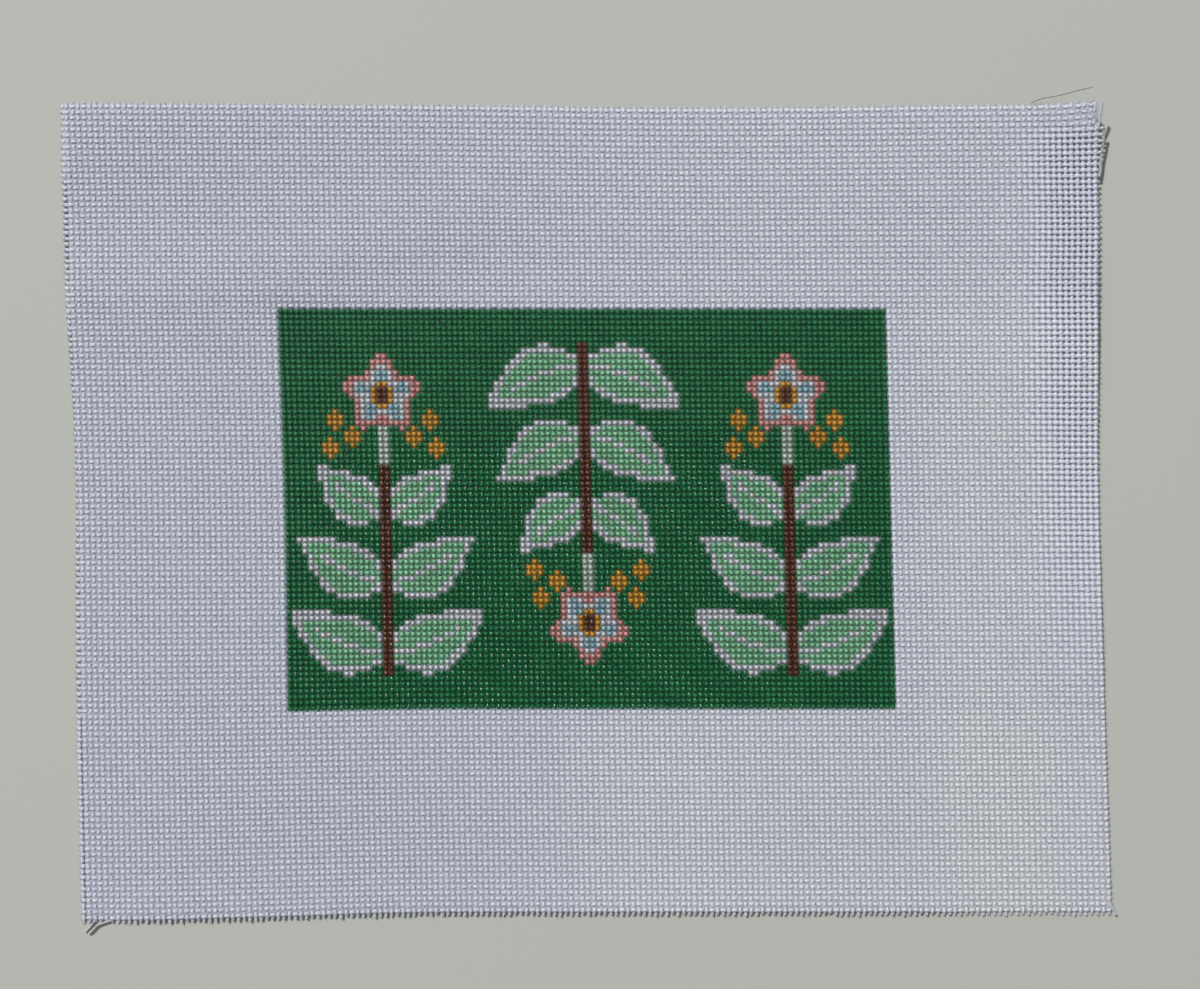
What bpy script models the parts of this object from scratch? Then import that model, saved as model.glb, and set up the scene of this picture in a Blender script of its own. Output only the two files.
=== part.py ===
"""A painted needlepoint canvas with raw cut edges, lying on a flat surface.

The canvas is a square-mesh cotton weave of 18 threads to the inch. Its middle carries a painted rectangle,
with bare margins all round. The origin is under the middle of the painted rectangle, +X runs along the weft
threads, +Y along the warp threads and +Z up. The solids give the cloth's thickness and the way it lies: flat
under the painting, with a low ridge at the left, a raised left corner, a curled right corner at the top and
a right edge that lifts a little.
"""

import math

import bmesh
import bpy

# Thread counts
warpThreads = 182
weftThreads = 144
paintedWarps = 108
paintedWefts = 72

# Weave sizes, in metres
warpPitch = 0.001405        # between warp threads in the middle of the canvas
weftPitch = 0.001388        # between weft threads in the middle of the canvas
warpSpread = 0.0102         # how much wider the outermost warps lie than an even spacing
weftSpread = 0.0107
threadWidth = 0.00064
fibreWidth = 0.0005
clothThickness = 0.0009
weftEnds = 0.0007           # mean length of the cut weft ends at each side
warpEnds = 0.0006           # mean length of the cut warp ends at top and bottom
cutWidth = 0.0003           # between neighbouring parts of the cloth

# How the cloth lies
warpLean = 0.026            # sideways run of a warp for each metre downwards
lowerLeftDroop = 0.0021
topSag = 0.0009
rightHollow = 0.0007
leftBow = 0.0006
curlHeight = 0.0042         # of the top right corner
curlStart = 0.100           # from the origin, along the curl's direction
curlRun = 0.062
curlPower = 8.0
curlDirection = (0.816, 0.578)
cornerHeight = 0.0008       # of the rise at the left edge, near the top corner
topEdgeHeight = 0.0006      # of the rise along the top edge
ridgeHeight = 0.0007        # of the ridge that runs in from the left edge
ridgeWidth = 0.012
ridgeFade = 0.075           # from where it starts to fade to where it ends, at the middle
sideHeight = 0.0003         # of the hump at the right edge, below its middle
rightLift = 0.0016          # of the upper half of the right edge

cellSize = 0.0065           # of the mesh that follows the cloth


def spread(count, pitch, extra, index):
    """Distance from the middle of the thread at this index, with wider spacing towards the edges."""
    half = (count - 1) / 2
    return pitch * index * (1 + extra * (index / half) ** 2)


halfWarp = spread(warpThreads, warpPitch, warpSpread, (warpThreads - 1) / 2) + threadWidth / 2 + weftEnds
halfWeft = spread(weftThreads, weftPitch, weftSpread, (weftThreads - 1) / 2) + threadWidth / 2 + warpEnds
paintedHalfWidth = spread(warpThreads, warpPitch, warpSpread, paintedWarps / 2)
paintedHalfHeight = spread(weftThreads, weftPitch, weftSpread, paintedWefts / 2)


def ramp(value, start, end):
    """0 before start, 1 after end and smooth between."""
    t = min(max((value - start) / (end - start), 0), 1)
    return t * t * (3 - 2 * t)


def bump(distance, width):
    return math.exp(-((distance / width) ** 2))


def liftAt(x, y):
    """Height of the cloth's underside."""
    along = (curlDirection[0] * x + curlDirection[1] * y - curlStart) / curlRun
    curl = curlHeight * max(along, 0) ** curlPower
    corner = cornerHeight * ramp(y, 0.072, 0.100) * ramp(-x, 0.060, 0.128)
    topEdge = topEdgeHeight * ramp(y, 0.060, 0.100)
    ridgeLine = 0.054 + 0.029 * ((x + 0.127) / 0.120) ** 2
    ridge = ridgeHeight * bump(y - ridgeLine, ridgeWidth) * (1 - ramp(x, -ridgeFade, 0))
    side = sideHeight * bump(y + 0.027, 0.020) * ramp(x, 0.100, 0.130)
    right = rightLift * bump(y - 0.050, 0.028) * ramp(x, 0.095, 0.130)
    outside = max(ramp(abs(x), 0.072, 0.082), ramp(abs(y), 0.047, 0.055))
    return (curl + corner + topEdge + ridge + side + right) * outside


def layAt(across, up):
    """Where a point of the flat, square canvas lies: leaning, drooping, sagging and bowed a little."""
    droop = lowerLeftDroop * ramp(-across, 0.030, 0.128) * ramp(-up, -0.020, 0.100)
    sag = topSag * ramp(up, 0.040, 0.100) * bump(across - 0.032, 0.058)
    hollow = rightHollow * ramp(across, 0.085, 0.129) * bump(up + 0.015, 0.062)
    bow = leftBow * ramp(-across, 0.010, 0.076) * bump(up - 0.002, 0.038)
    return across - warpLean * up - hollow + bow, up - droop - sag


def makeMaterial(name, colour, roughness):
    material = bpy.data.materials.new(name)
    material.use_nodes = True
    shader = material.node_tree.nodes["Principled BSDF"]
    shader.inputs["Base Color"].default_value = (*colour, 1)
    shader.inputs["Roughness"].default_value = roughness
    shader.inputs["Metallic"].default_value = 0
    material.diffuse_color = (*colour, 1)
    return material


def addObject(name, mesh, material):
    mesh.materials.append(material)
    piece = bpy.data.objects.new(name, mesh)
    bpy.context.scene.collection.objects.link(piece)
    return piece


def addCloth(name, left, right, bottom, top, material):
    """One part of the cloth: a grid between distances on the flat canvas, laid, lifted and made thick."""
    width = right - left
    height = top - bottom
    columns = math.ceil(width / cellSize)
    rows = math.ceil(height / cellSize)
    shape = bmesh.new()
    bmesh.ops.create_grid(shape, x_segments=columns, y_segments=rows, size=0.5)
    for corner in shape.verts:
        across = left + (corner.co.x + 0.5) * width
        up = bottom + (corner.co.y + 0.5) * height
        x, y = layAt(across, up)
        corner.co = (x, y, liftAt(x, y))
    extruded = bmesh.ops.extrude_face_region(shape, geom=shape.faces[:])
    raised = [item for item in extruded["geom"] if isinstance(item, bmesh.types.BMVert)]
    bmesh.ops.translate(shape, verts=raised, vec=(0, 0, clothThickness))
    bmesh.ops.recalc_face_normals(shape, faces=shape.faces[:])
    mesh = bpy.data.meshes.new(name)
    shape.to_mesh(mesh)
    shape.free()
    return addObject(name, mesh, material)


def curvePoint(points, position):
    """A point of the smooth curve through these points (Catmull-Rom), at a position counted in points."""
    first = min(int(position), len(points) - 2)
    t = position - first
    around = [points[min(max(first + step, 0), len(points) - 1)] for step in (-1, 0, 1, 2)]
    before, start, end, after = around
    return tuple(
        0.5 * (2 * b + (c - a) * t + (2 * a - 5 * b + 4 * c - d) * t**2 + (3 * b - a - 3 * c + d) * t**3)
        for a, b, c, d in zip(before, start, end, after)
    )


def addThread(name, points, thickness, material, steps=4):
    """A loose end of thread as a round tube along a smooth curve."""
    curve = bpy.data.curves.new(name, "CURVE")
    curve.dimensions = "3D"
    curve.bevel_depth = thickness / 2
    curve.bevel_resolution = 2
    curve.use_fill_caps = True
    count = (len(points) - 1) * steps + 1
    line = curve.splines.new("POLY")
    line.points.add(count - 1)
    for index, point in enumerate(line.points):
        point.co = (*curvePoint(points, index / steps), 1)
    return addObject(name, curve, material)


for existing in list(bpy.data.objects):
    bpy.data.objects.remove(existing)

bareCotton = makeMaterial("bare cotton", (0.58, 0.60, 0.70), 0.85)
paintedCotton = makeMaterial("painted cotton", (0.02, 0.085, 0.04), 0.70)
looseCotton = makeMaterial("loose cotton", (0.62, 0.64, 0.73), 0.85)
greyFibre = makeMaterial("grey fibre", (0.22, 0.23, 0.21), 0.80)

halfCut = cutWidth / 2
innerSide = paintedHalfWidth + halfCut
innerLevel = paintedHalfHeight + halfCut
panelSide = paintedHalfWidth - halfCut
panelLevel = paintedHalfHeight - halfCut

addCloth("painted_panel", -panelSide, panelSide, -panelLevel, panelLevel, paintedCotton)
addCloth("corner_top_left", -halfWarp, -innerSide, innerLevel, halfWeft, bareCotton)
addCloth("margin_top", -panelSide, panelSide, innerLevel, halfWeft, bareCotton)
addCloth("corner_top_right", innerSide, halfWarp, innerLevel, halfWeft, bareCotton)
addCloth("margin_bottom", -halfWarp, halfWarp, -halfWeft, -innerLevel, bareCotton)
addCloth("margin_left", -halfWarp, -innerSide, -panelLevel, panelLevel, bareCotton)
addCloth("margin_right", innerSide, halfWarp, -panelLevel, panelLevel, bareCotton)

# The loose ends lie just clear of the cloth's cut edges.
addThread(
    "fibre_top_right",
    [(0.1095, 0.1019, 0.0040), (0.1140, 0.1032, 0.0046), (0.1195, 0.1050, 0.0048), (0.1262, 0.1064, 0.0046)],
    fibreWidth,
    greyFibre,
)
addThread(
    "warp_end_top_right",
    [(0.1277, 0.0960, 0.0047), (0.1276, 0.0982, 0.0051), (0.1280, 0.1006, 0.0054)],
    threadWidth,
    looseCotton,
)
addThread(
    "weft_end_bottom_left",
    [(-0.1214, -0.1043, 0.0006), (-0.1229, -0.1049, 0.0007), (-0.1246, -0.1067, 0.0006)],
    threadWidth,
    looseCotton,
)
addThread(
    "warp_end_bottom_left",
    [(-0.1243, -0.1041, 0.0006), (-0.1248, -0.1049, 0.0006), (-0.1256, -0.1060, 0.0005)],
    threadWidth,
    looseCotton,
)
addThread(
    "warp_end_bottom_right",
    [(0.1316, -0.1020, 0.0006), (0.1325, -0.1030, 0.0005)],
    threadWidth,
    looseCotton,
)
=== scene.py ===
import math

import bpy
import numpy as np
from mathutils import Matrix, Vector


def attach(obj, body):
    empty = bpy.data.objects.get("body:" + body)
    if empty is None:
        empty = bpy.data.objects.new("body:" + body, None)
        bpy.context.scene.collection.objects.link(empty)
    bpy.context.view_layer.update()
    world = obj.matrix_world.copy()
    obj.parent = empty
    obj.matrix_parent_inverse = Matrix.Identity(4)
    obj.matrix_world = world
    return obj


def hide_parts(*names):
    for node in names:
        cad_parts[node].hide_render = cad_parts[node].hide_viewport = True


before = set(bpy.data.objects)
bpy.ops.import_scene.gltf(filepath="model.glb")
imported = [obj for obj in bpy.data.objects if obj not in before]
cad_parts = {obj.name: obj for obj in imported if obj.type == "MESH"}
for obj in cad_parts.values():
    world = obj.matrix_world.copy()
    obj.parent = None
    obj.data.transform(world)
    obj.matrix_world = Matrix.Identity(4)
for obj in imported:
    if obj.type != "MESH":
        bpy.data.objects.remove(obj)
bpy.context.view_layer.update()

rng = np.random.default_rng(18)

# The cloth, counted and measured as in the CAD part. Everything is in metres, thread counts apart.
canvas = {
    "warpThreads": 182,
    "weftThreads": 144,
    "paintedWarps": 108,
    "paintedWefts": 72,
    "warpPitch": 0.001405,
    "weftPitch": 0.001388,
    "warpSpread": 0.0102,        # how much wider the outermost warps lie than an even spacing
    "weftSpread": 0.0107,
    "threadWidth": 0.00101,
    "threadThickness": 0.00026,
    "threadSides": 6,
    "crossingGap": 0.00001,      # between two threads where they cross
    "weftCrimp": 0.53,           # the wefts' share of the waves; the warps run straighter
    "paintedWidth": 0.99,        # of a painted thread, as a share of a bare one
    "floorGap": 0.000004,
}

# How the cloth lies: as in the CAD part, but for a steeper curl, a stretched margin and two small rises.
# Each height or shift is followed by where its ramps start and end, or by its bell's middle and width.
lie = {
    "warpLean": 0.026,
    "lowerLeftDroop": 0.0021,
    "droopLeft": (0.030, 0.128),
    "droopDown": (-0.020, 0.100),
    "topSag": 0.0009,
    "sagUp": (0.040, 0.100),
    "sagBell": (0.032, 0.058),
    "rightHollow": 0.0007,
    "hollowRight": (0.085, 0.129),
    "hollowBell": (-0.015, 0.062),
    "leftBow": 0.0006,
    "bowLeft": (0.010, 0.076),
    "bowBell": (0.002, 0.038),
    "rightStretch": 0.0007,      # outwards, of the right margin near the loose corner
    "stretchRight": (0.060, 0.112),
    "stretchUp": (0.050, 0.074),
    "curlHeight": 0.0042,
    "curlStart": 0.100,
    "curlRun": 0.062,
    "curlPower": 12.0,
    "curlDirection": (0.816, 0.578),
    "cornerHeight": 0.0008,
    "cornerUp": (0.072, 0.100),
    "cornerLeft": (0.060, 0.128),
    "topEdgeHeight": 0.0006,
    "topEdgeUp": (0.060, 0.100),
    "ridgeHeight": 0.0007,
    "ridgeWidth": 0.012,
    "ridgeFade": 0.075,
    "ridgeLine": (0.054, 0.029, -0.127, 0.120),      # least height, rise, where it is least, run of the rise
    "sideHeight": 0.0003,
    "sideBell": (-0.027, 0.020),
    "sideRight": (0.100, 0.130),
    "rightLift": 0.0016,         # of the upper half of the right edge
    "liftBell": (0.050, 0.028),
    "liftRight": (0.095, 0.130),
    "raisedAcross": (0.072, 0.082),      # from the painting outwards, for all the heights above
    "raisedUp": (0.047, 0.055),
    "middleRise": 0.0003,        # off the table, of all but the edges
    "middleReach": (0.125, 0.100),
    "middleRun": (0, 0.030),
    "bottomRise": 0.0003,        # of the bottom edge between its corners
    "bottomDown": (0.088, 0.1005),
    "bottomLeft": (-0.122, -0.108),
    "bottomReach": 0.105,
    "bottomRun": (0, 0.020),
}


# 0 before start, 1 after end, and 3t^2 - 2t^3 between.
def ramp(value, start, end):
    t = np.clip((value - start) / (end - start), 0, 1)
    return t * t * (3 - 2 * t)


# A bell: e to the power of minus ((value - middle) / width) squared.
def bell(value, middle, width):
    return np.exp(-(((value - middle) / width) ** 2))


# Height of the cloth's underside: a curl that grows as a power of the distance past its start line, a raised
# corner, a top edge and two small rises as ramps, a ridge and the humps at the right edge as bells. All but
# the small rises fade out over the painting.
def liftAt(x, y):
    along = (lie["curlDirection"][0] * x + lie["curlDirection"][1] * y - lie["curlStart"]) / lie["curlRun"]
    curl = lie["curlHeight"] * np.maximum(along, 0) ** lie["curlPower"]
    corner = lie["cornerHeight"] * ramp(y, *lie["cornerUp"]) * ramp(-x, *lie["cornerLeft"])
    topEdge = lie["topEdgeHeight"] * ramp(y, *lie["topEdgeUp"])
    least, rise, place, run = lie["ridgeLine"]
    ridgeLine = least + rise * ((x - place) / run) ** 2
    ridge = lie["ridgeHeight"] * bell(y, ridgeLine, lie["ridgeWidth"]) * (1 - ramp(x, -lie["ridgeFade"], 0))
    side = lie["sideHeight"] * bell(y, *lie["sideBell"]) * ramp(x, *lie["sideRight"])
    right = lie["rightLift"] * bell(y, *lie["liftBell"]) * ramp(x, *lie["liftRight"])
    outside = np.maximum(ramp(np.abs(x), *lie["raisedAcross"]), ramp(np.abs(y), *lie["raisedUp"]))
    reachAcross, reachUp = lie["middleReach"]
    middle = lie["middleRise"] * ramp(reachAcross - np.abs(x), *lie["middleRun"]) * ramp(
        reachUp - np.abs(y), *lie["middleRun"]
    )
    bottom = lie["bottomRise"] * ramp(-y, *lie["bottomDown"]) * ramp(x, *lie["bottomLeft"]) * ramp(
        lie["bottomReach"] - x, *lie["bottomRun"]
    )
    return (curl + corner + topEdge + ridge + side + right) * outside + (middle + bottom)


# Where a point of the flat, square canvas lies: leaning, drooping at the lower left, sagging at the top,
# hollow at the right edge, stretched above that and bowed inwards at the left.
def layAt(across, up):
    droop = lie["lowerLeftDroop"] * ramp(-across, *lie["droopLeft"]) * ramp(-up, *lie["droopDown"])
    sag = lie["topSag"] * ramp(up, *lie["sagUp"]) * bell(across, *lie["sagBell"])
    hollow = lie["rightHollow"] * ramp(across, *lie["hollowRight"]) * bell(up, *lie["hollowBell"])
    stretch = lie["rightStretch"] * ramp(across, *lie["stretchRight"]) * ramp(up, *lie["stretchUp"])
    bow = lie["leftBow"] * ramp(-across, *lie["bowLeft"]) * bell(up, *lie["bowBell"])
    return across - lie["warpLean"] * up - hollow + bow + stretch, up - droop - sag


# Distance of a thread from the middle: pitch times index, times 1 plus an extra that grows with its square.
def spread(count, pitch, extra, index):
    return pitch * index * (1 + extra * (index / ((count - 1) / 2)) ** 2)


warps, wefts = canvas["warpThreads"], canvas["weftThreads"]
warpPlaces = np.arange(2 * warps + 1) / 2 - warps / 2        # every half pitch, from edge to edge
weftPlaces = np.arange(2 * wefts + 1) / 2 - wefts / 2
acrossPlaces = spread(warps, canvas["warpPitch"], canvas["warpSpread"], warpPlaces)
upPlaces = spread(wefts, canvas["weftPitch"], canvas["weftSpread"], weftPlaces)
warpLines, weftLines = acrossPlaces[1::2], upPlaces[1::2]      # the middles of the threads
middleHeight = (
    canvas["threadThickness"] * (0.5 + canvas["weftCrimp"])
    + canvas["crossingGap"] * canvas["weftCrimp"]
    + canvas["floorGap"]
)


# Slow random change along each thread: random values at even knots, blended by 3t^2 - 2t^3.
def wander(threads, stops, every):
    knots = rng.normal(0, 1, (threads, stops // every + 3))
    place = np.arange(stops) / every
    first = place.astype(int)
    t = ramp(place - first, 0, 1)
    return knots[:, first] * (1 - t) + knots[:, first + 1] * t


# Smooth random patches over the cloth: the same blend along both directions.
def patches(columns, rows, every):
    knots = wander(columns // every + 3, rows, every)
    place = np.arange(columns) / every
    first = place.astype(int)
    t = ramp(place - first, 0, 1)[:, None]
    return knots[first] * (1 - t) + knots[first + 1] * t


# How uneven the threads are.
unevenness = {
    "sideways": 0.000028,        # in metres
    "slow": 9,                   # crossings from one random value to the next
    "quick": 3,
    "quickShare": 0.6,
    "patch": 14,
    "patchShare": 0.8,
    "width": 0.035,              # of the thread's width, from crossing to crossing
    "threadShare": 0.6,          # of it, from thread to thread
}


# Sideways shifts: a slow wander, a quick one and patches in which neighbouring threads shift together.
def sidewaysShifts(threads, stops):
    return unevenness["sideways"] * (
        wander(threads, stops, unevenness["slow"])
        + unevenness["quickShare"] * wander(threads, stops, unevenness["quick"])
        + unevenness["patchShare"] * patches(threads, stops, unevenness["patch"])
    )


# Widths, 1 on average: each thread has its own, and it changes along the thread.
def widthShares(threads, stops):
    ownWidth = rng.normal(0, unevenness["threadShare"], (threads, 1))
    return 1 + unevenness["width"] * (ownWidth + wander(threads, stops, unevenness["quick"]))


# Each array is warps by wefts: one value for each crossing.
warpShift = sidewaysShifts(warps, wefts)
weftShift = sidewaysShifts(wefts, warps).T
warpWidth = widthShares(warps, wefts)
weftWidth = widthShares(wefts, warps).T
painted = (
    (np.abs(np.arange(warps) - (warps - 1) / 2) < canvas["paintedWarps"] / 2)[:, None]
    & (np.abs(np.arange(wefts) - (wefts - 1) / 2) < canvas["paintedWefts"] / 2)
)
warpWidth[painted] *= canvas["paintedWidth"]
weftWidth[painted] *= canvas["paintedWidth"]
amplitude = canvas["threadThickness"] + canvas["crossingGap"]
weftWave = amplitude * canvas["weftCrimp"]
warpWave = amplitude - weftWave
sign = 1 - 2 * ((np.arange(warps)[:, None] + np.arange(wefts)) % 2)      # 1 where the warp is on top
print("cloth:", warps, "warps and", wefts, "wefts")


# The painted design, one colour number for each crossing of the painted rectangle.
paints = {
    "green": (0.007, 0.188, 0.060),
    "mint": (0.240, 0.580, 0.340),
    "white": (0.632, 0.665, 0.717),
    "brown": (0.121, 0.034, 0.013),
    "pink": (0.688, 0.321, 0.297),
    "gold": (0.632, 0.311, 0.024),
    "blue": (0.302, 0.509, 0.585),
    "sage": (0.500, 0.594, 0.519),
}
paintNumber = {name: number for number, name in enumerate(paints)}

sprig = {
    "middles": (-36, 0, 36),     # stitches from the middle of the painting
    "ways": (1, -1, 1),          # growing up, down, up
    "foot": 28,                  # stitches from the middle row to the lowest leaves
    "stem": 36,
    "stalk": 43,
    "leaves": ((2, 18.5, 4.9, 0.40), (14.5, 17.5, 4.6, 0.50), (27, 14.5, 3.9, 0.62)),
    "leafBend": 0.07,
    "stemWidth": 1.1,            # half of it
    "berries": ((5.5, 41), (8.5, 44), (9.5, 39)),
    "berrySize": 1.6,
    "flower": 48.5,
}

leaf = {
    "fullness": 0.75,            # the power that moves its widest place towards the root
    "edge": 0.5,                 # how far its white edge goes beyond the outline, in stitches
    "inset": 0.8,                # and how far the mint stays inside it
    "tip": 2.2,
    "veinWidth": 0.5,
    "veinStart": 1,
    "veinEnd": 0.72,             # as a share of the leaf's length
}


# A leaf about the line u from its root: half width w sin(pi t^f), with f the fullness, bent by
# 4 b t (1 - t), edged and veined.
def paintLeaf(picture, column, row, angle, length, width, bend):
    u = column * math.cos(angle) + row * math.sin(angle)
    t = np.clip(u / length, 0, 1)
    v = row * math.cos(angle) - column * math.sin(angle) - bend * length * t * (1 - t) * 4
    half = width * np.sin(math.pi * t ** leaf["fullness"])
    inside = (u > 0) & (u < length)
    picture[inside & (np.abs(v) < half + leaf["edge"])] = paintNumber["white"]
    inner = inside & (np.abs(v) < half - leaf["inset"]) & (u < length - leaf["tip"])
    picture[inner] = paintNumber["mint"]
    vein = (np.abs(v) < leaf["veinWidth"]) & (u > leaf["veinStart"]) & (u < length * leaf["veinEnd"])
    picture[vein] = paintNumber["white"]


flower = {
    "size": 6.4,                 # in stitches, from its middle to the tips of the petals
    "petals": 5,
    "notch": 0.16,
    "pink": 0.7,                 # from the petals' outline outwards to where each colour ends
    "white": -0.6,
    "blue": -1.4,
    "blueShare": 0.15,           # the blue keeps to the petals' middles
    "gold": 2.3,                 # from the flower's middle
    "brown": 1.2,
}


# A flower: radius r (1 - n + n cos 5a) round its middle, with n the notch, in rings of colour.
def paintFlower(picture, column, row):
    radius = np.hypot(column, row)
    petal = np.cos(flower["petals"] * np.arctan2(column, row))
    edge = flower["size"] * (1 - flower["notch"] + flower["notch"] * petal)
    picture[radius < edge + flower["pink"]] = paintNumber["pink"]
    picture[radius < edge + flower["white"]] = paintNumber["white"]
    picture[(radius < edge + flower["blue"]) & (petal > flower["blueShare"])] = paintNumber["blue"]
    picture[radius < flower["gold"]] = paintNumber["gold"]
    picture[radius < flower["brown"]] = paintNumber["brown"]


def paintSprig(picture, column, row):
    for height, length, width, lean in sprig["leaves"]:
        for side in (-1, 1):
            paintLeaf(picture, column * side, row - height, lean, length, width, -sprig["leafBend"])
    onStem = np.abs(column) < sprig["stemWidth"]
    picture[onStem & (row > -2) & (row < sprig["stem"])] = paintNumber["brown"]
    picture[onStem & (row >= sprig["stem"]) & (row < sprig["stalk"])] = paintNumber["sage"]
    for out, height in sprig["berries"]:
        for side in (-1, 1):
            berry = np.abs(column * side - out) + np.abs(row - height) < sprig["berrySize"]
            picture[berry] = paintNumber["gold"]
    paintFlower(picture, column, row - sprig["flower"])


def paintPicture():
    column, row = np.meshgrid(
        np.arange(canvas["paintedWarps"]) - (canvas["paintedWarps"] - 1) / 2,
        np.arange(canvas["paintedWefts"]) - (canvas["paintedWefts"] - 1) / 2,
        indexing="ij",
    )
    picture = np.full(column.shape, paintNumber["green"])
    for middle, way in zip(sprig["middles"], sprig["ways"]):
        paintSprig(picture, column - middle, row * way + sprig["foot"])
    return picture


bareCotton = np.array((0.748, 0.786, 0.948, 0))

# The coat of paint: where it is thin it looks paler.
coat = {
    "patch": 3,                  # crossings from one random value to the next
    "patchShare": 0.5,
    "crossingShare": 0.35,
    "least": 0.90,               # how light the paint is where it is thickest
    "gain": 0.16,                # and what it gains where it is thinnest
    "haze": 0.003,
    "change": 0.02,              # from crossing to crossing, on the bare canvas as well
}
picture = paintPicture()
colours = np.array(list(paints.values()))[picture]
thin = (
    0.5
    + coat["patchShare"] * patches(*picture.shape, coat["patch"])
    + coat["crossingShare"] * rng.normal(0, 1, picture.shape)
)
thin = np.clip(thin, 0, 1)[..., None]
colours = colours * (coat["least"] + coat["gain"] * thin) + coat["haze"] * thin
crossingColours = np.broadcast_to(bareCotton, (warps, wefts, 4)).copy()
firstPaintedWarp = (warps - canvas["paintedWarps"]) // 2
lastPaintedWarp = firstPaintedWarp + canvas["paintedWarps"]
firstPaintedWeft = (wefts - canvas["paintedWefts"]) // 2
lastPaintedWeft = firstPaintedWeft + canvas["paintedWefts"]
crossingColours[firstPaintedWarp:lastPaintedWarp, firstPaintedWeft:lastPaintedWeft, :3] = colours
crossingColours *= (1 + coat["change"] * rng.normal(0, 1, (warps, wefts)))[..., None]

# How light the bare cotton is: it gains towards the right, again in the right margin below its top corner
# and in the bottom margin, and loses at the right edge. Each gain is followed by where its ramp starts and
# ends, or by its bell's middle and width.
lightness = {
    "least": 0.93,
    "rightwards": 0.10,
    "rightwardsRamp": (-0.080, 0.060),
    "rightMargin": 0.08,
    "rightMarginRamp": (0.078, 0.095),
    "rightEdge": -0.05,
    "rightEdgeRamp": (0.108, 0.122),
    "bottomRight": 0.04,
    "bottomRightRamp": (-0.010, 0.020),
    "bottomMiddle": 0.06,
    "bottomMiddleBell": (0.010, 0.026),
    "marginRamp": (0.045, 0.060),      # into the top margin, and downwards into the bottom one
}
places = warpLines[:, None]
inTop, inBottom = ramp(weftLines, *lightness["marginRamp"]), ramp(-weftLines, *lightness["marginRamp"])
whiter = (
    lightness["rightwards"] * ramp(places, *lightness["rightwardsRamp"])
    + lightness["rightMargin"] * ramp(places, *lightness["rightMarginRamp"]) * (1 - inTop)
    + lightness["rightEdge"] * ramp(places, *lightness["rightEdgeRamp"])
    + lightness["bottomRight"] * ramp(places, *lightness["bottomRightRamp"]) * inBottom
    + lightness["bottomMiddle"] * bell(places, *lightness["bottomMiddleBell"]) * inBottom
)
crossingColours[~painted] *= (lightness["least"] + whiter)[~painted][:, None]

# The fourth value is how glossy the paint dried: dull towards the top, glossy towards the bottom, more at
# some crossings than at others.
gloss = {
    "start": 0.034,              # the height on the painting below which it begins
    "run": 0.030,
    "side": (0.030, 0.075),      # where it fades towards the sides
    "sideFade": 0.35,
    "change": 0.25,
    "crossingShare": 0.7,        # of the change, from crossing to crossing
    "patchShare": 0.5,
    "patch": 12,
}
fromTop = ramp(gloss["start"] - weftLines, 0, gloss["run"])[None, :]
fromSides = 1 - gloss["sideFade"] * ramp(np.abs(warpLines), *gloss["side"])[:, None]
uneven = 1 + gloss["change"] * (
    gloss["crossingShare"] * rng.normal(0, 1, (warps, wefts))
    + gloss["patchShare"] * patches(warps, wefts, gloss["patch"])
)
crossingColours = np.minimum(crossingColours, 1)
crossingColours[..., 3] = np.clip(fromTop * fromSides * uneven, 0, 1) * painted
print("painting:", len(paints), "colours")


# Tubes along many routes at once. centres is routes x rings x 3; side and over are unit vectors of the same
# shape. Point k of a ring is centre + wide cos(2 pi k / n) side + thick sin(2 pi k / n) / c over, where c
# makes the flat top come out at the half thickness. Each end is closed by quads. The thread map runs along
# the tube by one for each ring, from a start of its own for every thread, and once round it from 0 to 1.
def tubes(centres, side, over, wide, thick, sides, colours):
    routes, rings = centres.shape[:2]
    angle = 2 * np.pi * np.arange(sides) / sides
    flatTop = np.sin(angle).max()
    points = (
        centres[:, :, None]
        + side[:, :, None] * (wide[:, :, None] * np.cos(angle))[..., None]
        + over[:, :, None] * (thick[:, :, None] * np.sin(angle) / flatTop)[..., None]
    )
    route = np.arange(routes)[:, None, None] * rings * sides
    ring = np.arange(rings - 1)[None, :, None] * sides
    here = np.arange(sides)[None, None, :]
    after = (here + 1) % sides
    walls = np.stack([
        route + ring + here, route + ring + sides + here, route + ring + sides + after, route + ring + after,
    ], axis=-1).reshape(-1, 4)
    capQuads = np.array([[0, k, k + 1, k + 2] for k in range(1, sides - 2, 2)])
    startCaps = route + capQuads
    endCaps = startCaps[..., ::-1] + (rings - 1) * sides
    quads = np.concatenate([walls, startCaps.reshape(-1, 4), endCaps.reshape(-1, 4)])
    along = quads // sides % rings + 2 * (quads // (rings * sides) % 7)
    around = np.zeros((len(quads), 4))
    around[: len(walls)] = np.tile(np.arange(sides), routes * (rings - 1))[:, None] + np.array((0, 0, 1, 1))
    threadMap = np.stack([along, around / sides], axis=-1)
    return {
        "points": points.reshape(-1, 3),
        "quads": quads,
        "smooth": np.arange(len(quads)) < len(walls),
        "threadMap": threadMap.reshape(-1, 2),
        "colours": np.broadcast_to(colours[:, :, None], (routes, rings, sides, 4)).reshape(-1, 4),
    }


# Several shapes as one: their arrays end to end, with the point numbers moved on.
def joined(parts):
    shift = np.cumsum([0] + [len(part["points"]) for part in parts[:-1]])
    whole = {key: np.concatenate([part[key] for part in parts]) for key in parts[0] if key != "quads"}
    whole["quads"] = np.concatenate([part["quads"] + step for part, step in zip(parts, shift)])
    return whole


bakeShear = 0.3
bakeMargin = 0.01


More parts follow.
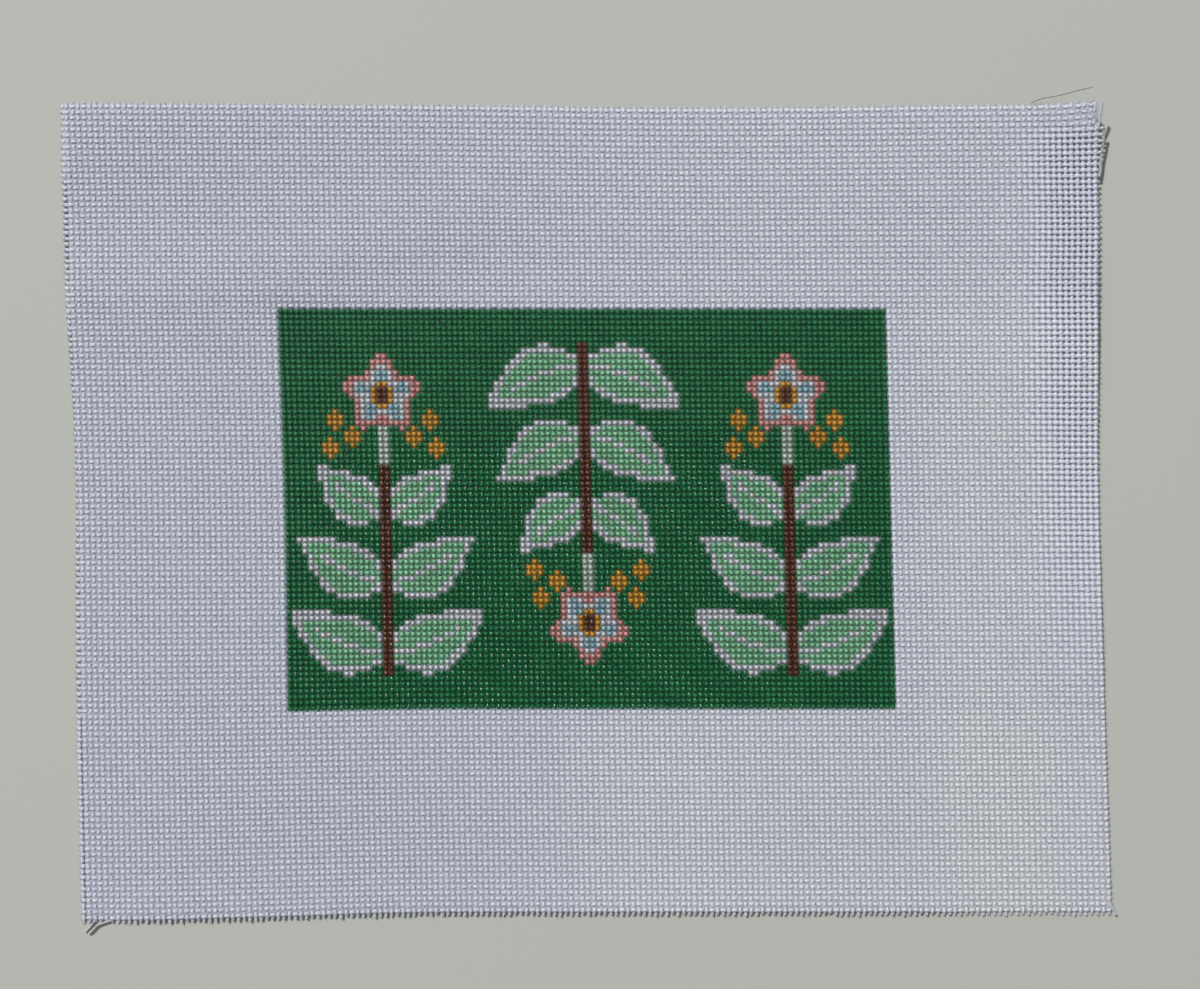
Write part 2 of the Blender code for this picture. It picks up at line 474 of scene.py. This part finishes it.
# A mesh from arrays. OFBake lays each point at its x and y, each plus the shear times z, over the piece's
# own box and inside a small margin.
def makePiece(name, shape, material):
    mesh = bpy.data.meshes.new(name)
    points, quads = shape["points"], shape["quads"]
    mesh.vertices.add(len(points))
    mesh.vertices.foreach_set("co", points.astype(np.float32).ravel())
    mesh.loops.add(quads.size)
    mesh.loops.foreach_set("vertex_index", quads.astype(np.int32).ravel())
    mesh.polygons.add(len(quads))
    mesh.polygons.foreach_set("loop_start", np.arange(0, quads.size, 4, dtype=np.int32))
    mesh.polygons.foreach_set("use_smooth", shape["smooth"])
    flatPlaces = points[:, :2] + bakeShear * points[:, 2:]
    low, high = flatPlaces.min(axis=0), flatPlaces.max(axis=0)
    bakeMap = (flatPlaces - low) / (high - low) * (1 - 2 * bakeMargin) + bakeMargin
    for layer, places in (("OFBake", bakeMap[quads.ravel()]), ("thread", shape["threadMap"])):
        mesh.uv_layers.new(name=layer).data.foreach_set("uv", places.astype(np.float32).ravel())
    paint = mesh.color_attributes.new("paint", "FLOAT_COLOR", "POINT")
    paint.data.foreach_set("color", shape["colours"].astype(np.float32).ravel())
    mesh.update(calc_edges=True)
    mesh.materials.append(material)
    piece = bpy.data.objects.new(name, mesh)
    bpy.context.scene.collection.objects.link(piece)
    print(name, len(quads) * 2, "triangles")
    return piece


# How far the wefts' ends are cut back from the last half pitch at either side, most of all where the
# outermost warp has come out, and how much longer they are at the upper right, where one more warp was
# pulled off them.
trim = {
    "least": 0.0002,
    "leftMiddle": 0.0008,
    "leftMiddleBell": (0.015, 0.028),
    "leftTop": 0.0006,
    "leftTopRamp": (0.080, 0.100),
    "looseWefts": 4,             # the last few, at the top right
    "loose": 0.0012,
    "reach": 0.00028,
    "reachRamp": (0.046, 0.058),
    "farReach": 0.0007,
    "farReachRamp": (0.078, 0.089),
}
heldWefts = wefts - trim["looseWefts"]
isHeld = np.arange(wefts) < heldWefts
leftTrim = (
    trim["least"]
    + trim["leftMiddle"] * bell(weftLines, *trim["leftMiddleBell"])
    + trim["leftTop"] * ramp(weftLines, *trim["leftTopRamp"])
)
rightTrim = np.where(isHeld, trim["least"], trim["loose"])
rightReach = isHeld * (
    trim["reach"] * ramp(weftLines, *trim["reachRamp"])
    + trim["farReach"] * ramp(weftLines, *trim["farReachRamp"])
)


# Threads of one direction, from the crossing called first to the one before last. Each ring belongs to a
# crossing and stands some part of a pitch from it. The centre is the cloth's middle height, plus the wave
# where the thread passes over and minus it where it passes under, and falls to the middle at a cut edge.
# Inside the cloth a thread stops under the next thread that crosses it, so no seam shows between pieces.
def threads(isWarp, near, far, first, last):
    arrays = (warpShift, warpWidth, sign * warpWave, crossingColours)
    if not isWarp:
        arrays = (weftShift, weftWidth, -sign * weftWave, crossingColours)
        arrays = tuple(values.swapaxes(0, 1) for values in arrays)
    shift, width, over, tints = arrays
    places = upPlaces if isWarp else acrossPlaces
    lines = (warpLines if isWarp else weftLines)[near:far]
    rings = 2 * (last - first) + 4
    crossing = np.clip(np.arange(rings) // 2 - 1 + first, first, last - 1)
    offset = np.tile((-0.25, 0.25), rings // 2)
    offset[:2], offset[-2:] = (-0.5, -0.375), (0.375, 0.5)
    share = np.ones(rings)
    share[[0, 1, -2, -1]] = (0, 0.5, 0.5, 0)
    crossing, offset, share = (
        np.repeat(values[None], far - near, axis=0) for values in (crossing, offset, share)
    )
    if first > 0:
        outside = over[near:far, first - 1] < 0
        crossing[outside, :2] = first - 1
        offset[outside, :2] = (0, 0.25)
        offset[~outside, :4] = (0, 0.08, 0.16, 0.25)
        share[:, :2] = 1
    if last < over.shape[1]:
        outside = over[near:far, last] < 0
        crossing[outside, -2:] = last
        offset[outside, -2:] = (-0.25, 0)
        offset[~outside, -4:] = (-0.25, -0.16, -0.08, 0)
        share[:, -2:] = 1
    lengthways = places[1::2][crossing] + offset * np.diff(places[::2])[crossing]
    if not isWarp and first == 0:
        anchor = lengthways[:, 4:5]
        cut = 1 - leftTrim[near:far, None] / (anchor - lengthways[:, :1])
        lengthways[:, :4] = anchor - (anchor - lengthways[:, :4]) * cut
    if not isWarp and last == warps:
        anchor = lengthways[:, -5:-4]
        cut = 1 - rightTrim[near:far, None] / (lengthways[:, -1:] - anchor)
        lengthways[:, -4:] = anchor + (lengthways[:, -4:] - anchor) * cut
    number = np.arange(near, far)[:, None]
    sideways = lines[:, None] + shift[number, crossing]
    x, y = layAt(*((sideways, lengthways) if isWarp else (lengthways, sideways)))
    z = liftAt(x, y) + middleHeight + over[number, crossing] * share
    centres = np.stack([x, y, z], axis=-1)
    side = np.broadcast_to((1.0, 0, 0) if isWarp else (0, -1.0, 0), centres.shape)
    above = np.broadcast_to((0, 0, 1.0), centres.shape)
    half = canvas["threadWidth"] / 2 * width[number, crossing]
    thick = np.full(half.shape, canvas["threadThickness"] / 2)
    return tubes(centres, side, above, half, thick, canvas["threadSides"], tints[number, crossing])


# Both directions of one region. The outermost warp is missing at the left of all but the bottom margin, and
# has come out of the last few wefts at the top right.
def weave(firstWarp, lastWarp, firstWeft, lastWeft):
    near = 1 if firstWarp == 0 and firstWeft > 0 else firstWarp
    far = warps - 1 if lastWarp == warps and lastWeft == wefts else lastWarp
    parts = [
        threads(True, near, far, firstWeft, lastWeft),
        threads(False, firstWeft, lastWeft, firstWarp, lastWarp),
    ]
    if far < lastWarp:
        parts.append(threads(True, far, lastWarp, firstWeft, heldWefts))
    return joined(parts)


fuzz = {
    "rise": 0.0001,              # above the cloth's middle, outside the painting
    "thickness": 0.00012,
    # painted shade: the fuzz is drawn darker than the threads around it, for the shade in the holes
    "shadeTint": (0.86, 0.86, 0.89, 0),
    "openRight": (0.108, 0.124),       # where the holes open, beside the right edge
    "openUp": (-0.055, 0.045),
    "closedUp": (0.0925, 0.0965),
    "openDepth": 0.00045,        # how much deeper the fuzz lies there
    # painted shade: where the holes open, the fuzz is drawn darker still, for the shadowed table seen
    # through them
    "openShade": 0.28,           # and how much darker it is
}


# The fuzz that fills the holes: a thin closed sheet near the cloth's middle height. Its points lie in the
# middle of the holes, and each takes the mean colour of the crossings around it, darkened as painted shade
# in the holes, and more where they open beside the right edge. It ends under threads.
def nap(firstWarp, lastWarp, firstWeft, lastWeft, rise):
    stops = [
        np.r_[2 * first + 1 + inset, np.arange(2 * first + 2 + 2 * inset, end, 2), end]
        for first, end, inset in (
            (firstWarp, min(2 * lastWarp + 1, 2 * warps - 1), firstWarp == 0),
            (firstWeft, min(2 * lastWeft + 1, 2 * wefts - 1), 0),
        )
    ]
    across, up = acrossPlaces[stops[0]], upPlaces[stops[1]]
    columns, rows = len(across), len(up)
    under = columns * rows
    x, y = layAt(*np.meshgrid(across, up, indexing="ij"))
    openness = ramp(across, *fuzz["openRight"])[:, None] * ramp(up, *fuzz["openUp"])
    openness *= 1 - ramp(up, *fuzz["closedUp"])
    top = liftAt(x, y) + middleHeight + rise - fuzz["openDepth"] * openness
    top = np.maximum(top, fuzz["thickness"] + canvas["floorGap"])
    upper = np.stack([x, y, top], axis=-1).reshape(-1, 3)
    lower = upper - (0, 0, fuzz["thickness"])
    number = np.arange(under).reshape(columns, rows)
    corners = [number[:-1, :-1], number[1:, :-1], number[1:, 1:], number[:-1, 1:]]
    cells = np.stack(corners, axis=-1).reshape(-1, 4)
    ring = np.concatenate([number[:, 0], number[-1, 1:], number[-2::-1, -1], number[0, -2:0:-1]])
    after = np.roll(ring, -1)
    rim = np.stack([ring, ring + under, after + under, after], axis=-1)
    quads = np.concatenate([cells, cells[:, ::-1] + under, rim])
    colours = sum(
        crossingColours[warp][:, weft]
        for warp in ((stops[0] - 1) // 2, stops[0] // 2)
        for weft in ((stops[1] - 1) // 2, stops[1] // 2)
    ).reshape(-1, 4) / 4
    # painted shade: the fuzz's colour is darkened, and more where the holes open
    colours = np.minimum(colours * fuzz["shadeTint"] * (1 - fuzz["openShade"] * openness.reshape(-1, 1)), 1)
    return {
        "points": np.concatenate([upper, lower]),
        "quads": quads,
        "smooth": np.arange(len(quads)) < 2 * len(cells),
        "threadMap": np.zeros((quads.size, 2)),
        "colours": np.concatenate([colours, colours]),
    }


# The cut ends of the threads, past the cloth's last half pitch. Lengths are the least one and what it gains
# along that side.
fringe = {
    "left": (0.00015, 0.00010),
    "right": (0.00010, 0.0),
    "top": (0.00045, 0.0),
    "bottom": (0.00060, 0.0),
    "gainRamp": (-0.02, 0.09),
    "unevenness": 0.22,
    "limits": (0.4, 1.7),        # of a thread's length, as shares of the mean
    "splay": 0.00008,            # sideways drift of a thread's end
    "settle": 0.6,               # share of the weave's wave that the end keeps
    "widths": (0.95, 0.82, 0.72, 0.68, 0.50),
    "thicknesses": (1.0, 1.1, 1.2, 1.1, 0.6),
    "fibres": 6,                 # fine ones at each end
    "fibreLength": (0.00015, 0.00070),
    "fibreSides": 4,
    "fibreRadius": 0.000024,
    "fibreTaper": (1, 1, 0.8, 0.3),
    "fibreSpread": 0.38,         # radians, one standard deviation
    "fibreBend": 1.3,            # its drift grows with this power of its length
    "fibreLift": 0.25,           # share of its length
    "fibreRoot": (0.6, 1.0),     # where it leaves the thread, as a share of the end's length
    "fibreBeside": (-0.8, 0.8),  # and of the thread's half width
    "fibreAbove": (-0.8, 0.9),   # and of its half thickness
}


# One side's cut ends: each thread runs on, drifts sideways with the square of its length, swings back
# through the cloth's middle height by a sine, and ends in a fan of fine fibres.
def cutEnds(side, near, far):
    isWarp = side in ("top", "bottom")
    outwards = 1 if side in ("top", "right") else -1
    last = -1 if outwards > 0 else 0
    lines = (warpLines if isWarp else weftLines)[near:far]
    cutBack = {"left": leftTrim, "right": rightTrim}.get(side, np.zeros(warps))[near:far, None]
    edge = (upPlaces if isWarp else acrossPlaces)[last] - outwards * cutBack
    pitch = canvas["weftPitch"] if isWarp else canvas["warpPitch"]
    arrays = (warpShift, warpWidth, sign * warpWave)
    if not isWarp:
        arrays = (weftShift.T, weftWidth.T, -(sign * weftWave).T)
    shift, width, over = (values[near:far, last] for values in arrays)
    count = len(lines)
    least, gain = fringe[side]
    length = least + gain * ramp(lines, *fringe["gainRamp"])
    length = length * np.clip(1 + fringe["unevenness"] * rng.normal(0, 1, count), *fringe["limits"])
    if side == "right":
        length = length + rightReach[near:far]
    part = np.linspace(0, 1, len(fringe["widths"]))
    reach = length[:, None] * part
    drift = fringe["splay"] * rng.normal(0, 1, (count, 1)) * part**2
    sideways = (lines + shift)[:, None] + drift
    height = -fringe["settle"] * over[:, None] * np.sin(np.minimum(np.pi * reach / pitch, np.pi / 2))
    half = canvas["threadWidth"] / 2 * width[:, None] * np.array(fringe["widths"])
    thick = canvas["threadThickness"] / 2 * np.broadcast_to(fringe["thicknesses"], half.shape)

    fibres = fringe["fibres"]
    steps = np.linspace(0, 1, 4)
    fibreLength = rng.uniform(*fringe["fibreLength"], (count, fibres, 1))
    root = length[:, None, None] * rng.uniform(*fringe["fibreRoot"], (count, fibres, 1))
    way = fringe["fibreSpread"] * rng.normal(0, 1, (count, fibres, 1))
    fromMiddle = half[:, :1, None] * rng.uniform(*fringe["fibreBeside"], (count, fibres, 1))
    bent = steps ** fringe["fibreBend"]
    fibreReach = root + fibreLength * steps * np.cos(way)
    fibreSide = sideways[:, -1:, None] + fromMiddle + fibreLength * np.sin(way) * bent
    rise = rng.uniform(*fringe["fibreAbove"], (count, fibres, 1)) * canvas["threadThickness"] / 2
    lifted = fringe["fibreLift"] * fibreLength * rng.normal(0, 1, (count, fibres, 1))
    fibreHeight = height[:, -1:, None] + rise + lifted * steps**2
    fibreHalf = fringe["fibreRadius"] * np.broadcast_to(fringe["fibreTaper"], (count * fibres, 4))
    fibreCentres = (values.reshape(-1, 4) for values in (fibreReach, fibreSide, fibreHeight))

    parts = []
    for along, across, high, wide, deep, sides in (
        (reach, sideways, height, half, thick, canvas["threadSides"]),
        (*fibreCentres, fibreHalf, fibreHalf, fringe["fibreSides"]),
    ):
        ends = np.repeat(edge, len(along) // count, axis=0) + outwards * along
        if outwards < 0:      # the rings run to the right and upwards on every side
            ends, across, high, wide, deep = (values[:, ::-1] for values in (ends, across, high, wide, deep))
        x, y = layAt(*((across, ends) if isWarp else (ends, across)))
        z = liftAt(x, y) + middleHeight + high
        centres = np.stack([x, y, np.maximum(z, deep + canvas["floorGap"])], axis=-1)
        beside = np.broadcast_to((1.0, 0, 0) if isWarp else (0, -1.0, 0), centres.shape)
        above = np.broadcast_to((0, 0, 1.0), centres.shape)
        tints = np.broadcast_to(bareCotton, wide.shape + (4,))
        parts.append(tubes(centres, beside, above, wide, deep, sides, tints))
    return joined(parts)


looseCotton = np.array((0.760, 0.772, 0.835, 0))
greyCotton = np.array((0.100, 0.105, 0.090, 0))
cottonTwist = {"plies": 3, "turns": 320, "colour": looseCotton}      # turns for each metre

# Threads and a fibre that came loose from the cut edges: the sheet each lies with, and how it is made.
looseEnds = {
    "fibre_top_right": ("corner_top_right_cloth", {
        "route": [
            (0.1108, 0.1012, 0.0017), (0.1133, 0.1021, 0.0023), (0.1176, 0.1028, 0.0028),
            (0.1217, 0.1038, 0.0031), (0.1256, 0.1047, 0.0033),
        ],
        "width": 0.00022, "plies": 2, "turns": 700, "colour": greyCotton,
    }),
    "warp_end_top_right": ("corner_top_right_cloth", {
        "route": [
            (0.1270, 0.0943, 0.0032), (0.1271, 0.0975, 0.0045), (0.1271, 0.0993, 0.0052),
            (0.1272, 0.1006, 0.0055),
        ],
        "width": 0.00062, **cottonTwist,
    }),
    "weft_end_bottom_left": ("margin_bottom_left_cloth", {
        "route": [
            (-0.1185, -0.1029, 0.0004), (-0.1197, -0.1032, 0.0005), (-0.1211, -0.1037, 0.0005),
            (-0.1224, -0.1042, 0.0005), (-0.1235, -0.1053, 0.0005), (-0.1246, -0.1064, 0.0004),
        ],
        "width": 0.00052, **cottonTwist,
    }),
    "warp_end_bottom_left": ("margin_bottom_left_cloth", {
        "route": [
            (-0.1231, -0.1030, 0.0005), (-0.1240, -0.1043, 0.0005), (-0.1248, -0.1052, 0.0005),
            (-0.1255, -0.1059, 0.0004),
        ],
        "width": 0.00052, **cottonTwist,
    }),
    "warp_end_bottom_right": ("margin_bottom_right_cloth", {
        "route": [
            (0.1307, -0.0975, 0.0005), (0.1311, -0.0988, 0.0006), (0.1318, -0.1002, 0.0006),
            (0.1325, -0.1015, 0.0005),
        ],
        "width": 0.00066, **cottonTwist,
    }),
}

# What is left of the warp that was pulled off: it stands away from the right edge, below the loose corner.
lastOfWarp = {
    "route": [
        (0.1286, 0.0947, 0.0032), (0.1286, 0.0937, 0.0029), (0.1286, 0.0918, 0.0025),
        (0.1284, 0.0896, 0.0022), (0.1282, 0.0874, 0.0020), (0.1281, 0.0853, 0.0018),
        (0.1280, 0.0833, 0.0015),
    ],
    "width": 0.00056, **cottonTwist,
}

twist = {
    "steps": 16,                 # rings from one point of the route to the next
    "sides": 6,
    "plyRadius": 1.05,           # as a share of its distance from the thread's middle
    "opening": 0.5,              # how much further from the middle the plies lie at the far end
}


# A smooth curve through points (Catmull-Rom), read at evenly spaced steps between each two of them.
def curveThrough(points, steps):
    points = np.array(points)
    padded = np.concatenate([points[:1], points, points[-1:]])
    position = np.arange((len(points) - 1) * steps + 1) / steps
    first = np.minimum(position.astype(int), len(points) - 2)
    t = (position - first)[:, None]
    a, b, c, d = (padded[first + k] for k in range(4))
    return 0.5 * (2 * b + (c - a) * t + (2 * a - 5 * b + 4 * c - d) * t**2 + (3 * b - a - 3 * c + d) * t**3)


# A twisted thread: plies wound round its route as helices, which open with the cube of the distance.
def twistedThread(route, width, plies, turns, colour):
    line = curveThrough(route, twist["steps"])
    run = np.gradient(line, axis=0)
    distance = np.concatenate([[0], np.cumsum(np.linalg.norm(np.diff(line, axis=0), axis=1))])
    run /= np.linalg.norm(run, axis=1)[:, None]
    beside = np.cross(run, (0, 0, 1.0))
    beside /= np.linalg.norm(beside, axis=1)[:, None]
    above = np.cross(beside, run)
    radius = width / 4
    angle = 2 * np.pi * (turns * distance + np.arange(plies)[:, None] / plies)
    opened = 1 + twist["opening"] * (distance / distance[-1]) ** 3
    centres = line + radius * opened[:, None] * (
        np.cos(angle)[..., None] * beside + np.sin(angle)[..., None] * above
    )
    shape = centres.shape
    half = np.broadcast_to(radius * twist["plyRadius"], shape[:2])
    colours = np.broadcast_to(colour, shape[:2] + (4,))
    beside, above = np.broadcast_to(beside, shape), np.broadcast_to(above, shape)
    return tubes(centres, beside, above, half, half, twist["sides"], colours)


cotton = {
    "bare": {
        "roughness": 0.82, "glossyRoughness": 0.82, "mottling": 0.05, "sheen": 0.12, "specular": 0.3,
        "depth": 0.0006,         # how far light goes into a thread
        "ply": 1.0,              # relief of the plies
        "fuzz": 1.5,             # of the noise on them
        "dome": 0.9,             # of a knuckle
        "arch": 0.7,             # and across a thread
        # painted shade: the thread is drawn darker between two knuckles, where it dips under the crossing
        # threads
        "dipShade": 0.28,             # how much darker the thread is between two knuckles
        # painted highlight at the top of a knuckle, standing also for thinner paint there
        "highlightAndThinPaint": 0.0,            # added to the colour at the top of a knuckle
    },
    "painted": {
        "roughness": 0.60, "glossyRoughness": 0.19, "mottling": 0.14, "sheen": 0.0, "specular": 0.28,
        "depth": 0.0005,
        "ply": 0.35,
        "fuzz": 0.5,
        "dome": 1.2,
        "arch": 1.0,
        # painted shade between the knuckles, deeper on the painted threads
        "dipShade": 0.66,
        # painted highlight at the knuckles' tops, with thinner paint there
        "highlightAndThinPaint": 0.021,
    },
    "sheenRoughness": 0.5,
    "roughnessChange": 0.12,     # with the noise
    "plies": 3,
    "turns": 0.8,                # of a ply for each ring of the thread
    "knuckle": 2.5,              # the first ring place with a knuckle's top; the next is two rings on
    "reliefDepth": 0.00008,
    "reliefStrength": 0.6,
    "noiseSize": 1600,
    "noiseDetail": 3,
}


# The result of a maths node; each value is a number or another node's output.
def worked(tree, operation, *values):
    node = tree.nodes.new("ShaderNodeMath")
    node.operation = operation
    for socket, value in zip(node.inputs, values):
        if isinstance(value, bpy.types.NodeSocket):
            tree.links.new(value, socket)
        else:
            socket.default_value = value
    return node.outputs["Value"]


# A value that goes from start to 1, carried over to the range from least to most.
def ranged(tree, value, least, most, start=0):
    node = tree.nodes.new("ShaderNodeMapRange")
    node.inputs["From Min"].default_value = start
    node.inputs["To Min"].default_value = least
    node.inputs["To Max"].default_value = most
    tree.links.new(value, node.inputs["Value"])
    return node.outputs["Result"]


# Cotton. Its colour is the paint attribute times 1 plus or minus a little noise, with painted shade between
# the knuckles by the dome's cosine, and with a little painted highlight added at their tops, which stands
# also for thinner paint there. Its roughness goes from dull to glossy with the attribute's fourth value, and
# rises with the noise. Its bump adds up the sine of the turns along the thread plus the plies around it, the
# noise, a sine that arches the thread across its width and a cosine that makes a dome of each knuckle, each
# times its share.
def clothMaterial(name, look):
    material = bpy.data.materials.new(name)
    material.use_nodes = True
    tree = material.node_tree
    shader = tree.nodes["Principled BSDF"]
    shader.inputs["Sheen Weight"].default_value = look["sheen"]
    shader.inputs["Sheen Roughness"].default_value = cotton["sheenRoughness"]
    shader.inputs["Specular IOR Level"].default_value = look["specular"]
    shader.inputs["Subsurface Weight"].default_value = 1
    shader.inputs["Subsurface Radius"].default_value = (1, 1, 1)
    shader.inputs["Subsurface Scale"].default_value = look["depth"]
    paint = tree.nodes.new("ShaderNodeAttribute")
    paint.attribute_name = "paint"
    place = tree.nodes.new("ShaderNodeTexCoord")
    mottle = tree.nodes.new("ShaderNodeTexNoise")
    mottle.inputs["Scale"].default_value = cotton["noiseSize"]
    mottle.inputs["Detail"].default_value = cotton["noiseDetail"]
    tree.links.new(place.outputs["Object"], mottle.inputs["Vector"])
    noise = mottle.outputs["Fac"]
    threadMap = tree.nodes.new("ShaderNodeUVMap")
    threadMap.uv_map = "thread"
    parts = tree.nodes.new("ShaderNodeSeparateXYZ")
    tree.links.new(threadMap.outputs["UV"], parts.inputs["Vector"])
    along, around = parts.outputs["X"], parts.outputs["Y"]

    fromKnuckle = worked(tree, "MULTIPLY_ADD", along, math.pi, -cotton["knuckle"] * math.pi)
    dome = worked(tree, "COSINE", fromKnuckle)
    mottled = ranged(tree, noise, 1 - look["mottling"], 1 + look["mottling"])
    # painted shade between the knuckles, following the dome's cosine
    dipShaded = ranged(tree, dome, 1 - look["dipShade"], 1, -1)
    tinted = tree.nodes.new("ShaderNodeVectorMath")
    tinted.operation = "SCALE"
    tree.links.new(paint.outputs["Color"], tinted.inputs[0])
    tree.links.new(worked(tree, "MULTIPLY", mottled, dipShaded), tinted.inputs["Scale"])
    # painted highlight, with thinner paint, added at the knuckles' tops
    withHighlight = tree.nodes.new("ShaderNodeVectorMath")
    withHighlight.operation = "ADD"
    tree.links.new(tinted.outputs["Vector"], withHighlight.inputs[0])
    tree.links.new(ranged(tree, dome, 0, look["highlightAndThinPaint"]), withHighlight.inputs[1])
    tree.links.new(withHighlight.outputs["Vector"], shader.inputs["Base Color"])

    change = cotton["roughnessChange"]
    dried = ranged(
        tree, paint.outputs["Alpha"], look["roughness"] - change / 2, look["glossyRoughness"] - change / 2,
    )
    tree.links.new(worked(tree, "MULTIPLY_ADD", noise, change, dried), shader.inputs["Roughness"])

    plies = worked(tree, "MULTIPLY", around, cotton["plies"])
    winding = worked(tree, "MULTIPLY_ADD", along, cotton["turns"], plies)
    ply = worked(tree, "SINE", worked(tree, "MULTIPLY", winding, 2 * math.pi))
    relief = worked(tree, "MULTIPLY", ply, look["ply"])
    relief = worked(tree, "MULTIPLY_ADD", noise, look["fuzz"], relief)
    across = worked(tree, "SINE", worked(tree, "MULTIPLY", around, 2 * math.pi))
    relief = worked(tree, "MULTIPLY_ADD", across, look["arch"], relief)
    relief = worked(tree, "MULTIPLY_ADD", dome, look["dome"], relief)
    bump = tree.nodes.new("ShaderNodeBump")
    bump.inputs["Strength"].default_value = cotton["reliefStrength"]
    bump.inputs["Distance"].default_value = cotton["reliefDepth"]
    tree.links.new(relief, bump.inputs["Height"])
    tree.links.new(bump.outputs["Normal"], shader.inputs["Normal"])
    return material


bareMaterial = clothMaterial("bare cotton", cotton["bare"])
paintedMaterial = clothMaterial("painted cotton", cotton["painted"])

middleWarp = warps // 2
regions = {
    "corner_top_left_cloth": ("corner_top_left", 0, firstPaintedWarp, lastPaintedWeft, wefts),
    "margin_top_cloth": ("margin_top", firstPaintedWarp, lastPaintedWarp, lastPaintedWeft, wefts),
    "corner_top_right_cloth": ("corner_top_right", lastPaintedWarp, warps, lastPaintedWeft, wefts),
    "margin_left_cloth": ("margin_left", 0, firstPaintedWarp, firstPaintedWeft, lastPaintedWeft),
    "panel_left_cloth": ("painted_panel", firstPaintedWarp, middleWarp, firstPaintedWeft, lastPaintedWeft),
    "panel_right_cloth": ("painted_panel", middleWarp, lastPaintedWarp, firstPaintedWeft, lastPaintedWeft),
    "margin_right_cloth": ("margin_right", lastPaintedWarp, warps, firstPaintedWeft, lastPaintedWeft),
    "margin_bottom_left_cloth": ("margin_bottom", 0, middleWarp, 0, firstPaintedWeft),
    "margin_bottom_right_cloth": ("margin_bottom", middleWarp, warps, 0, firstPaintedWeft),
}
looseOn = {name: [] for name in regions}
for node, (sheet, end) in looseEnds.items():
    piece = makePiece(f"{node}_twist", twistedThread(**end), bareMaterial)
    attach(piece, "root")
    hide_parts(node)
    looseOn[sheet].append(piece)

for name, (node, firstWarp, lastWarp, firstWeft, lastWeft) in regions.items():
    isPainted = node == "painted_panel"
    material = paintedMaterial if isPainted else bareMaterial
    piece = makePiece(name, weave(firstWarp, lastWarp, firstWeft, lastWeft), material)
    filling = nap(firstWarp, lastWarp, firstWeft, lastWeft, 0 if isPainted else fuzz["rise"])
    others = [makePiece(name.replace("cloth", "nap"), filling, material)]
    cutSides = [
        cutEnds(side, near, far)
        for side, isCut, near, far in (
            ("left", firstWarp == 0, firstWeft, lastWeft),
            ("right", lastWarp == warps, firstWeft, lastWeft),
            ("bottom", firstWeft == 0, firstWarp, lastWarp),
            ("top", lastWeft == wefts, max(firstWarp, 1), min(lastWarp, warps - 1)),
        )
        if isCut
    ]
    if name == "corner_top_right_cloth":
        cutSides.append(twistedThread(**lastOfWarp))
    if cutSides:
        others.append(makePiece(name.replace("cloth", "fringe"), joined(cutSides), material))
    for each in (piece, *others):
        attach(each, "root")
    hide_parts(node)


# The table top, the studio light and the camera.
studio = {
    "floorColour": (0.500, 0.511, 0.472),
    "floorRoughness": 0.9,
    "floorSpecular": 0.2,
    "floorSize": 6.0,
    "lightAzimuth": 126,         # degrees from +X, so the light comes from the back left
    "lightElevation": 41,
    "lightDistance": 7.0,
    "lightSize": 0.36,
    "lightPower": 496.0,
    "fill": 0.244,
    "cameraPlace": (0.00338, 0.00363, 0.320),
    "lens": 38.3,
    "sensor": 36,
    "clip": (0.01, 100),
}


def makeFloor():
    half = studio["floorSize"] / 2
    corners = [(-half, -half, 0), (half, -half, 0), (half, half, 0), (-half, half, 0)]
    mesh = bpy.data.meshes.new("table_top")
    mesh.from_pydata(corners, [], [(0, 1, 2, 3)])
    floor = bpy.data.objects.new("table_top", mesh)
    bpy.context.scene.collection.objects.link(floor)
    material = bpy.data.materials.new("pale table")
    material.use_nodes = True
    shader = material.node_tree.nodes["Principled BSDF"]
    shader.inputs["Base Color"].default_value = (*studio["floorColour"], 1)
    shader.inputs["Roughness"].default_value = studio["floorRoughness"]
    shader.inputs["Specular IOR Level"].default_value = studio["floorSpecular"]
    mesh.materials.append(material)


def makeLight():
    azimuth, elevation = math.radians(studio["lightAzimuth"]), math.radians(studio["lightElevation"])
    level = math.cos(elevation)
    back = Vector((math.cos(azimuth) * level, math.sin(azimuth) * level, math.sin(elevation)))
    data = bpy.data.lights.new("key", "AREA")
    data.shape = "DISK"
    data.size = studio["lightSize"]
    data.energy = studio["lightPower"]
    light = bpy.data.objects.new("key", data)
    light.location = back * studio["lightDistance"]
    light.rotation_mode = "QUATERNION"
    light.rotation_quaternion = back.to_track_quat("Z", "Y")
    bpy.context.scene.collection.objects.link(light)
    world = bpy.data.worlds.new("fill")
    world.use_nodes = True
    sky = world.node_tree.nodes["Background"]
    sky.inputs["Color"].default_value = (1, 1, 1, 1)
    sky.inputs["Strength"].default_value = studio["fill"]
    bpy.context.scene.world = world


def makeCamera():
    data = bpy.data.cameras.new("camera")
    data.lens = studio["lens"]
    data.sensor_width = studio["sensor"]
    data.clip_start, data.clip_end = studio["clip"]
    camera = bpy.data.objects.new("camera", data)
    camera.location = studio["cameraPlace"]
    bpy.context.scene.collection.objects.link(camera)
    bpy.context.scene.camera = camera


makeFloor()
makeLight()
makeCamera()
bpy.context.scene.view_settings.view_transform = "Standard"
